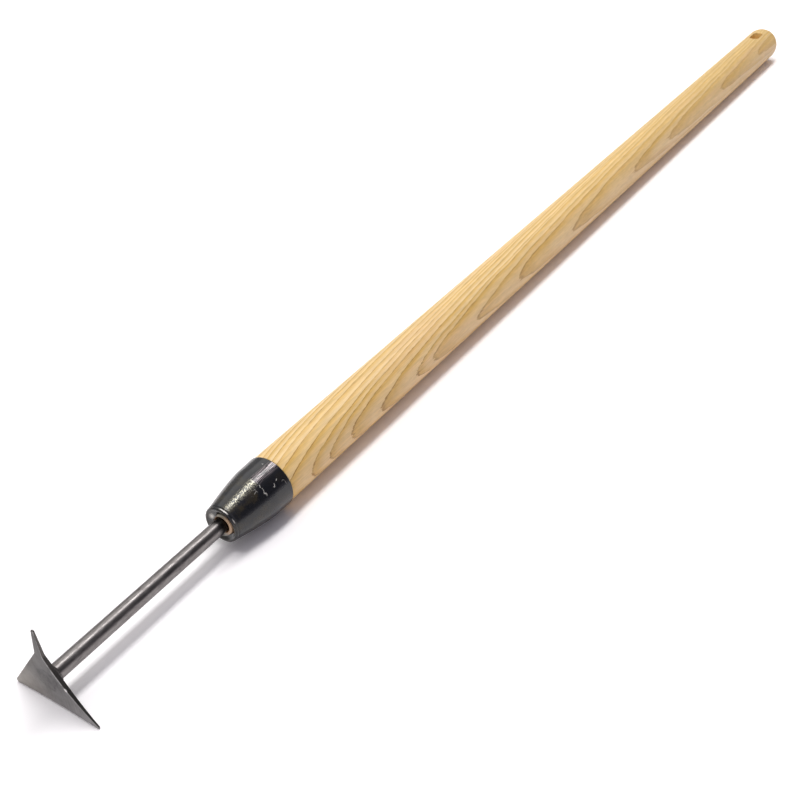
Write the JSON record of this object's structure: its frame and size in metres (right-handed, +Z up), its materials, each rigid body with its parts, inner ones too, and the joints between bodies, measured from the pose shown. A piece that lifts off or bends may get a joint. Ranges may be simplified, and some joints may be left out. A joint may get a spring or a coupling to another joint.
{
  "type": "paving joint scraper",
  "caption": "Long handled joint scraper: a small three-pointed steel blade square across a steel rod, in a round ash handle with a black ferrule.",
  "frame": {"origin": "under the middle of the tool's length, at the level of the blade's base corners", "axes": "+X along the tool from the blade to the butt, +Z up through the blade's horn"},
  "size_m": [1.119, 0.0641, 0.0574],
  "materials": {
    "plate_steel": "satin",
    "weld_steel": "rough",
    "drawn_steel": "satin",
    "black_enamel": "gloss",
    "ash_wood": "satin"
  },
  "bodies": {
    "root": {"blade": "plate_steel", "weld_bead": "weld_steel", "rod": "drawn_steel", "ferrule": "black_enamel", "handle": "ash_wood"}
  },
  "joints": []
}
